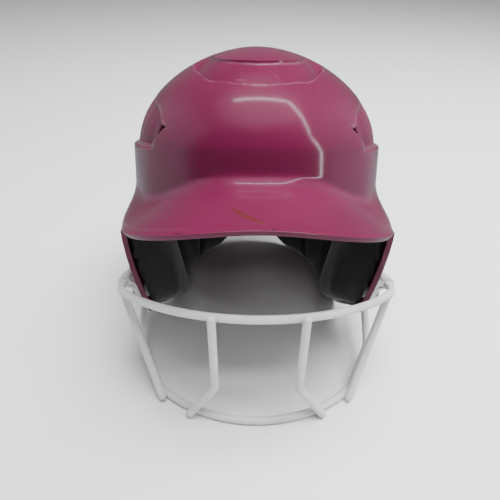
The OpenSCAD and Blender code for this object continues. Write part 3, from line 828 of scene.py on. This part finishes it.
shader["IOR"].default_value = 1.42
shader["Specular IOR Level"].default_value = 0.25
coat_gone = m.math("MULTIPLY", worn_off, coat_lost)
m.set(shader["Coat Weight"], m.math("SUBTRACT", clear_coat, coat_gone))
shader["Coat Roughness"].default_value = coat_haze
shader["Coat IOR"].default_value = 1.5
peel = m.noise(place, peel_scale, 1.0)
bump = m.add("ShaderNodeBump", {"Height": peel, "Strength": 0.03, "Distance": peel_height})
m.set(shader["Normal"], bump.outputs[0])
helmet_shell.data.materials.append(shell_paint)
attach(helmet_shell, "root")
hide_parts("shell")

# Ear pads. Thick wedges of soft closed-cell foam faced with thin black knit, with a hole over the
# ear, glued inside the flaps. Every pad of the helmet is cut to shape, swells a little in a cloth
# simulation, and then has its sewn channels pressed in.
ear_pad_t = 0.024
ear_pad_angles = (ear_angle - 4.5 * ear_half_angle, ear_angle + 1.5 * ear_half_angle)
ear_pad_top = ear_level - 1.5 * ear_half_level
ear_pad_foot = ear_level + 5.5 * ear_half_level
pad_gap = 0.0003
pad_edge = 0.5
pad_corner = 0.07
ear_relief = 0.003
ear_front = 0.18
levels_to_rim = 60
foam_voxel = 0.0032
swell_cap = 0.0016
cut_smaller = 0.0010
channel_width = 0.0055
channel_press = 0.0028
channel_depths = (0.3, 0.7)
glue_reach = (0.0012, 0.0060)
swell_frames = 20
swell_pressure = 4
knit_dark = (0.0075, 0.0075, 0.009, 1)
knit_rubbed = (0.016, 0.016, 0.018, 1)
loop_scale = 950.0
loop_shape = (1.0, 1.0, 0.6)
loop_height = 0.0004
loop_jitter = 0.35
fuzz_scale = 90.0

knit_group, g, start, end = new_group(
    "knit face", [("Place", "Vector"), ("Scale", "Float")], [("Height", "Float"), ("Fuzz", "Float")]
)
drawn_out = g.vector("MULTIPLY", start["Place"], loop_shape)
loops = g.add("ShaderNodeTexVoronoi", {"Vector": drawn_out, "Scale": start["Scale"]})
loops.inputs["Randomness"].default_value = loop_jitter
g.set(end["Height"], g.math("SUBTRACT", 1.0, loops.outputs["Distance"]))
g.set(end["Fuzz"], g.noise(start["Place"], fuzz_scale, 4.0, 0.6))

pad_knit, m, shader, place = new_material("pad knit")
knit = m.group(knit_group, Place=place, Scale=loop_scale)
rubbed = m.ramp(knit["Fuzz"], 0.45, 0.75)
m.set(shader["Base Color"], m.blend(rubbed, knit_dark, knit_rubbed))
m.set(shader["Roughness"], m.math("ADD", 0.72, m.math("MULTIPLY", knit["Fuzz"], 0.2)))
shader["Sheen Weight"].default_value = 0.25
shader["Sheen Roughness"].default_value = 0.45
bump = m.add("ShaderNodeBump", {"Height": knit["Height"], "Strength": 0.35})
bump.inputs["Distance"].default_value = loop_height
m.set(shader["Normal"], bump.outputs[0])


def swell(x):
    """Thickness across a cushion, from its edge at -1 to the other at 1."""
    return np.sqrt(1 - np.clip(np.abs(x), 0, 1) ** 4)


def tuck(x, y):
    """Draws a pad's corners in a little."""
    return x * (1 - pad_corner * np.abs(y) ** 6)


def pad_grids(angles, top, foot, thickness, cells, brim=0, ear=False):
    """Back and face of a pad between two angles, and the cells that the ear hole leaves open."""
    a0, a1 = angles
    cols, rows = cells
    u = np.linspace(-1, 1, cols + 1)[None, :] + np.zeros((rows + 1, 1))
    v = np.linspace(-1, 1, rows + 1)[:, None] + 0 * u
    s = tuck(u, v)
    level = mix(mix(top[0], top[1], (s + 1) / 2), foot, (tuck(v, u) + 1) / 2)
    angle = mix(a0, a1, (s + 1) / 2)
    q = np.where(level >= 0, level, level / levels_to_rim)
    open_cells = np.zeros((u.shape[0] - 1, u.shape[1] - 1), bool)
    thick = (thickness - cut_smaller) * mix(pad_edge, 1, swell(u) * swell(v))
    if ear:
        middle_u = (u[:-1, :-1] + u[1:, 1:]) / 2
        middle_v = (v[:-1, :-1] + v[1:, 1:]) / 2
        open_cells = in_ear(mix(a0, a1, (middle_u + 1) / 2),
                            mix(top[0], foot, (middle_v + 1) / 2) / levels_to_rim)
        chamfer = np.clip((mix(a0, a1, (u + 1) / 2) - a0) / (2 * ear_half_angle), 0, 1)
        thick = thick * mix(ear_front, 1, chamfer)
        angle, q = ear_place(angle, q, ear_hole + 2 * ear_relief)
    back = at_rest(skin_point(angle, q, wall + pad_gap + 0 * q, brim))
    face = at_rest(skin_point(angle, q, wall + pad_gap + thick, brim))
    return back, face, open_cells


def baked(piece):
    """Puts the result of a piece's modifiers into its mesh."""
    graph = bpy.context.evaluated_depsgraph_get()
    made = bpy.data.meshes.new_from_object(piece.evaluated_get(graph), depsgraph=graph)
    old = piece.data
    piece.modifiers.clear()
    piece.data = made
    bpy.data.meshes.remove(old)
    made.name = piece.name


def points_of(mesh):
    points = np.empty(len(mesh.vertices) * 3, np.float32)
    mesh.vertices.foreach_get("co", points)
    return points.reshape(-1, 3).astype(float)


def set_points(mesh, points):
    mesh.vertices.foreach_set("co", np.asarray(points, np.float32).ravel())
    mesh.update()


def back_surface(back, closed=False):
    """The surface that a pad is glued on with, to measure how far a point stands away from it."""
    rows, cols = back.shape[:2]
    span = cols if closed else cols - 1
    quads = []
    for i in range(0, (rows - 1) * cols, cols):
        for j in range(span):
            n = (j + 1) % cols
            quads.append((i + j, i + n, i + cols + n, i + cols + j))
    return BVHTree.FromPolygons([tuple(p) for p in back.reshape(-1, 3)], quads)


def foam_pad(name, back, face, open_cells, closed=False, poles=(), channels=()):
    """A cushion between two grids of points, swollen in cloth, with channels pressed in."""
    mesh = walled_sheet(back, face, lambda i, j: bool(open_cells[i][j]), closed, poles)[0]
    piece = finish_mesh(name, mesh)
    remesh = piece.modifiers.new("foam", "REMESH")
    remesh.mode = "VOXEL"
    remesh.voxel_size = foam_voxel
    baked(piece)
    glued = back_surface(back, closed)
    start_points = points_of(piece.data)
    away = np.array([glued.find_nearest(Vector(p))[3] for p in start_points])
    free = step_between(*glue_reach, away)
    held = piece.vertex_groups.new(name="glued")
    for i, share in enumerate(free):
        held.add([i], float(1 - share), "REPLACE")
    cloth = piece.modifiers.new("swelling", "CLOTH")
    cloth.settings.use_pressure = True
    cloth.settings.uniform_pressure_force = swell_pressure
    cloth.settings.effector_weights.gravity = 0
    cloth.settings.vertex_group_mass = held.name
    cloth.collision_settings.use_collision = False
    cloth.point_cache.frame_start = 1
    cloth.point_cache.frame_end = swell_frames
    for step in range(1, swell_frames + 1):
        bpy.context.scene.frame_set(step)
    swollen = piece.evaluated_get(bpy.context.evaluated_depsgraph_get())
    moved = points_of(swollen.data) - start_points
    length = np.linalg.norm(moved, axis=1)
    kept = np.minimum(1, swell_cap / np.maximum(length, 1e-9)) * free
    piece.modifiers.clear()
    bpy.context.scene.frame_set(1)
    set_points(piece.data, start_points + moved * kept[:, None])
    piece.vertex_groups.clear()
    piece.modifiers.new("rounder", "SUBSURF").levels = 1
    baked(piece)
    if channels:
        points = points_of(piece.data)
        nearest = [glued.find_nearest(Vector(p)) for p in points]
        to_back = np.array([hit[0] for hit in nearest]) - points
        depth = np.linalg.norm(to_back, axis=1)
        press = np.zeros(len(points))
        for line in channels:
            apart = np.min(np.linalg.norm(points[:, None, :] - line[None, :, :], axis=2), axis=1)
            press = np.maximum(press, (1 - np.clip(apart / channel_width, 0, 1) ** 2) ** 2)
        press *= channel_press * step_between(*channel_depths, depth / depth.max())
        inward = to_back / np.maximum(depth, 1e-6)[:, None]
        set_points(piece.data, points + inward * press[:, None])
    piece.data.shade_smooth()
    piece.data.materials.clear()
    piece.data.materials.append(pad_knit)
    return piece


def channel_lines(face, columns_at):
    """Lines down a pad's face at the given shares of its width."""
    rows = face.shape[0]
    lines = []
    for share in columns_at:
        j = share * (face.shape[1] - 1)
        k = min(int(j), face.shape[1] - 2)
        line = mix(face[:, k], face[:, k + 1], j - k)
        fine = np.linspace(0, rows - 1, 6 * rows)
        i = np.minimum(fine.astype(int), rows - 2)
        lines.append(mix(line[i], line[i + 1], (fine - i)[:, None]))
    return lines


def mirrored(piece, name):
    """The right piece, from the left one."""
    data = piece.data.copy()
    data.transform(Matrix.Scale(-1, 4, (1, 0, 0)))
    data.flip_normals()
    other = bpy.data.objects.new(name, data)
    bpy.context.scene.collection.objects.link(other)
    return other


def declare_pad(piece):
    """A padded cushion of foam, in place of the node it covers."""
    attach(piece, "root")
    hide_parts(piece.name.replace("_cover", ""))


ear_top = -levels_to_rim * ear_pad_top
ear_foot = -levels_to_rim * ear_pad_foot
back, face, open_cells = pad_grids(
    ear_pad_angles, top=(ear_top, ear_top), foot=ear_foot, thickness=ear_pad_t, cells=(24, 28),
    brim=1, ear=True,
)
ear_pad_left = foam_pad("ear_pad_left_cover", back, face, open_cells)
declare_pad(ear_pad_left)
declare_pad(mirrored(ear_pad_left, "ear_pad_right_cover"))

# Side pads. Two flat cushions of knit-faced foam, one above each ear. They are glued inside the
# band and have two sewn channels each.
side_pad_t = 0.011
side_channels = (0.33, 0.67)
back, face, open_cells = pad_grids(
    (62, 128), top=(-4, -4), foot=-19.5, thickness=side_pad_t, cells=(24, 14), brim=1
)
side_pad_left = foam_pad("side_pad_left_cover", back, face, open_cells,
                         channels=channel_lines(face, side_channels))
declare_pad(side_pad_left)
declare_pad(mirrored(side_pad_left, "side_pad_right_cover"))

# Nape pads. Two thick cushions of knit-faced foam that grip the head low at the back, either side
# of the arch. They are glued to the moulding and have one sewn channel each.
nape_pad_t = 0.020
nape_channels = (0.5,)
back, face, open_cells = pad_grids(
    (101, 168), top=(-26, -33), foot=-59.2, thickness=nape_pad_t, cells=(24, 16)
)
nape_pad_left = foam_pad("nape_pad_left_cover", back, face, open_cells,
                         channels=channel_lines(face, nape_channels))
declare_pad(nape_pad_left)
declare_pad(mirrored(nape_pad_left, "nape_pad_right_cover"))

# Forehead pad. A wide cushion of knit-faced foam, glued inside the front of the moulding behind the
# brim, with two sewn channels.
forehead_pad_t = 0.013
forehead_channels = (0.31, 0.69)
back, face, open_cells = pad_grids(
    (-38, 38), top=(15, 15), foot=-30, thickness=forehead_pad_t, cells=(32, 16)
)
forehead_pad = foam_pad("forehead_pad_cover", back, face, open_cells,
                        channels=channel_lines(face, forehead_channels))
declare_pad(forehead_pad)

# Back pad. A wide cushion of knit-faced foam, glued inside the back of the moulding above the nape
# pads, with two sewn channels.
back_pad_t = 0.013
back_channels = (0.31, 0.69)
back, face, open_cells = pad_grids(
    (135, 225), top=(5, 5), foot=-28, thickness=back_pad_t, cells=(32, 16)
)
back_pad = foam_pad("back_pad_cover", back, face, open_cells,
                    channels=channel_lines(face, back_channels))
declare_pad(back_pad)

# Crown pad. A round cushion of knit-faced foam with a crossed channel, glued under the top of the
# moulding.
crown_pad_t = 0.013
crown_channels = (0.125, 0.375, 0.625, 0.875)
crown_rings = 11
crown_spokes = 48
crown_stops = [86, 80, 74, 69.5, 67, 66]
ring_place = np.linspace(0, len(crown_stops) - 1, crown_rings)
crown_levels = np.interp(ring_place, range(len(crown_stops)), crown_stops)
crown_turn = np.linspace(0, 360, crown_spokes, endpoint=False)
turn_grid = crown_turn[None, :] + 0 * crown_levels[:, None]
level_grid = crown_levels[:, None] + 0 * crown_turn[None, :]
thin_out = mix(pad_edge, 1, swell(np.linspace(0, 1, crown_rings)))
thick = (crown_pad_t - cut_smaller) * thin_out[:, None] + 0 * turn_grid
back = at_rest(skin_point(turn_grid, level_grid, wall + pad_gap + 0 * turn_grid))
face = at_rest(skin_point(turn_grid, level_grid, wall + pad_gap + thick))
pad_top = crown_top - [0, 0, wall + pad_gap]
whole = np.zeros((crown_rings - 1, crown_spokes), bool)
crown_pad = foam_pad("crown_pad_cover", back, face, whole, closed=True,
                     poles=at_rest([pad_top, pad_top - [0, 0, crown_pad_t - cut_smaller]]),
                     channels=channel_lines(face, crown_channels))
declare_pad(crown_pad)

# Guard. Bent 6 mm steel wires, welded where they cross and dipped together in white vinyl. The
# wires are the construction's own, with a better surface.
vinyl_white = (0.70, 0.715, 0.69, 1)
vinyl_grey = (0.64, 0.655, 0.63, 1)
vinyl_handled = (0.47, 0.46, 0.42, 1)
handling_scale = 26.0
tint_scale = 60.0
drip_scale = 150.0
drip_height = 0.0008
dipped_vinyl, m, shader, place = new_material("dipped vinyl")
handled = m.ramp(m.noise(place, handling_scale, 4.0, 0.65), 0.5, 0.72)
clean = m.blend(m.ramp(m.noise(place, tint_scale, 2.0), 0.3, 0.7), vinyl_white, vinyl_grey)
m.set(shader["Base Color"], m.blend(m.math("MULTIPLY", handled, 0.45), clean, vinyl_handled))
m.set(shader["Roughness"], m.math("ADD", 0.34, m.math("MULTIPLY", handled, 0.16)))
shader["Coat Weight"].default_value = 0.15
shader["Coat Roughness"].default_value = 0.2
drips = m.noise(place, drip_scale, 2.0)
bump = m.add("ShaderNodeBump", {"Height": drips, "Strength": 0.12, "Distance": drip_height})
m.set(shader["Normal"], bump.outputs[0])


same_corner = 0.00002
bevel_angle = 32


def resurface(node, material, bevel=0.0):
    """Gives one of the construction's own nodes a better material, and softer edges if asked."""
    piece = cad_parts[node]
    piece.data.materials.clear()
    piece.data.materials.append(material)
    if bevel:
        piece.modifiers.new("weld", "WELD").merge_threshold = same_corner
        edges = piece.modifiers.new("edges", "BEVEL")
        edges.width = bevel
        edges.segments = 2
        edges.limit_method = "ANGLE"
        edges.angle_limit = math.radians(bevel_angle)
        edges.harden_normals = False


for wire in ("guard_upper_bar", "guard_lower_bar", "guard_loop_left", "guard_loop_right",
             "middle_bar_left", "middle_bar_right", "side_bar_left", "side_bar_right"):
    resurface(wire, dipped_vinyl)

# Strap clips. A strip of white vinyl-coated steel wraps the wire, and both its ends are screwed to
# the flap together.
clip_white = (0.69, 0.70, 0.675, 1)
clip_dusty = (0.57, 0.57, 0.53, 1)
clip_edge = 0.0003
dust_scale = 70.0
clip_vinyl, m, shader, place = new_material("clip vinyl")
dusty = m.ramp(m.noise(place, dust_scale, 4.0), 0.45, 0.75)
m.set(shader["Base Color"], m.blend(dusty, clip_white, clip_dusty))
m.set(shader["Roughness"], m.math("ADD", 0.42, m.math("MULTIPLY", dusty, 0.15)))
for clip in ("upper_clip_left", "upper_clip_right", "lower_clip_left", "lower_clip_right"):
    resurface(clip, clip_vinyl, clip_edge)

# Screws, washers and tee nuts. Zinc-plated steel, turned and stamped, slightly dulled by sweat. A
# screw goes through a clip's ends and the flap into a nut that sits in the foam.
zinc_bright = (0.62, 0.63, 0.64, 1)
zinc_dulled = (0.42, 0.41, 0.38, 1)
fixing_edge = 0.00015
sweat_scale = 180.0
turning_scale = 900.0
turning_height = 0.0002
zinc, m, shader, place = new_material("zinc plate")
dulled = m.ramp(m.noise(place, sweat_scale, 4.0, 0.7), 0.4, 0.7)
m.set(shader["Base Color"], m.blend(dulled, zinc_bright, zinc_dulled))
m.set(shader["Roughness"], m.math("ADD", 0.24, m.math("MULTIPLY", dulled, 0.25)))
shader["Metallic"].default_value = 1.0
turned = m.noise(place, turning_scale, 1.0)
bump = m.add("ShaderNodeBump", {"Height": turned, "Strength": 0.08, "Distance": turning_height})
m.set(shader["Normal"], bump.outputs[0])
for fixing in ("clip_screws", "clip_washers", "clip_nuts"):
    resurface(fixing, zinc, fixing_edge)

# Floor. A wide sheet of white photographer's paper, matt and evenly lit. The paint's coat mirrors
# the lower part of the tent in its place, which keeps the reflections calm.
floor_half = 2.5
paper_grey = (0.86, 0.865, 0.88, 1)
paper_white = (0.90, 0.905, 0.915, 1)
paper_scale = 3.0
floor_mesh = bmesh.new()
bmesh.ops.create_grid(floor_mesh, x_segments=1, y_segments=1, size=floor_half)
floor = finish_mesh("floor", floor_mesh)
floor_paper, m, shader, place = new_material("floor paper")
m.set(shader["Base Color"], m.blend(m.noise(place, paper_scale, 2.0), paper_grey, paper_white))
shader["Roughness"].default_value = 0.75
floor.data.materials.append(floor_paper)
floor.visible_glossy = False

# Studio tent. White cloth hung round the table, with an opening in front through which the dim room
# mirrors in the paint. What the paint mirrors is set apart from the even light that the tent gives.
tent_shade = (0.20, 0.205, 0.215, 1)
tent_roof = (0.95, 0.98, 1.02, 1)
tent_sides = (0.62, 0.65, 0.70, 1)
dim_room = (0.045, 0.04, 0.045, 1)
tent_foot = (0.50, 0.52, 0.55, 1)
tent_light = (0.20, 0.205, 0.21, 1)
world = bpy.data.worlds.new("studio")
world.use_nodes = True
bpy.context.scene.world = world
w = Nodes(world.node_tree)
world.node_tree.nodes.clear()
ahead = w.add("ShaderNodeTexCoord").outputs["Generated"]
parts = w.add("ShaderNodeSeparateXYZ", {"Vector": ahead}).outputs
front = w.math("MULTIPLY", w.ramp(parts["Y"], -0.15, -0.55), w.ramp(parts["Z"], 0.93, 0.72))
front_low = w.math("MULTIPLY", front, w.ramp(parts["Z"], -0.45, -0.20))
tent = w.blend(w.ramp(parts["Z"], 0.80, 0.98), tent_shade, tent_roof)
sides = w.blend(w.ramp(w.math("ABSOLUTE", parts["X"]), 0.50, 0.85), tent, tent_sides)
walls = w.blend(front_low, sides, dim_room)
mirror = w.blend(w.ramp(parts["Z"], -0.10, -0.45), walls, tent_foot)
mirrored_ray = w.add("ShaderNodeLightPath").outputs["Is Glossy Ray"]
around = w.blend(mirrored_ray, tent_light, mirror)
sky = w.add("ShaderNodeBackground", {"Color": around, "Strength": 1.0})
w.add("ShaderNodeOutputWorld", {"Surface": sky.outputs[0]})

# Lamps. Three softboxes light the table through the cloth and don't mirror in the paint. Three thin
# tubes give the highlights over the crown and down its right side. Each runs between two ends.
lamps = [
    ("key_softbox", (0.45, 0.75, 1.15), (1.05, 0.30, 1.05), 0.6, 12.0, False),
    ("top_softbox", (-0.35, -0.05, 1.60), (0.85, -0.05, 1.60), 1.0, 60.0, False),
    ("front_softbox", (-0.5, -1.0, 1.5), (0.9, -1.0, 1.5), 0.7, 4.0, False),
    ("top_tube", (-0.25, 0.14, 1.1), (0.30, 0.14, 1.1), 0.035, 1.0, True),
    ("right_tube", (0.30, 0.15, 1.05), (0.75, -0.45, 0.80), 0.035, 1.2, True),
    ("low_tube", (0.86, -0.52, 0.10), (0.79, -0.475, 0.79), 0.035, 1.3, True),
]
lit_place = Vector((0, 0, 0.12))
for name, one_end, other_end, width, power, reflected in lamps:
    a, b = Vector(one_end), Vector(other_end)
    data = bpy.data.lights.new(name, "AREA")
    data.shape = "RECTANGLE"
    data.size, data.size_y = (b - a).length, width
    data.energy = power
    lamp = bpy.data.objects.new(name, data)
    bpy.context.scene.collection.objects.link(lamp)
    along = (b - a).normalized()
    away = (a + b) / 2 - lit_place
    back_axis = (away - along * away.dot(along)).normalized()
    turn = Matrix((along, back_axis.cross(along), back_axis)).transposed().to_4x4()
    lamp.matrix_world = Matrix.Translation((a + b) / 2) @ turn
    lamp.visible_glossy = reflected

# Camera, where the photograph was taken from: a little above the helmet, looking down at the brim
# with a slight roll.
camera_place = (-0.0123, -0.4027, 0.3249)
camera_aim = Vector((0.0167, 0.8338, -0.5519))
camera_roll = Quaternion((0, 0, 1), math.radians(1.1))
camera_data = bpy.data.cameras.new("camera")
camera_data.sensor_width = 36
camera_data.lens = 37.44
camera = bpy.data.objects.new("camera", camera_data)
bpy.context.scene.collection.objects.link(camera)
camera.location = camera_place
camera.rotation_mode = "QUATERNION"
camera.rotation_quaternion = camera_aim.to_track_quat("-Z", "Y") @ camera_roll
bpy.context.scene.camera = camera
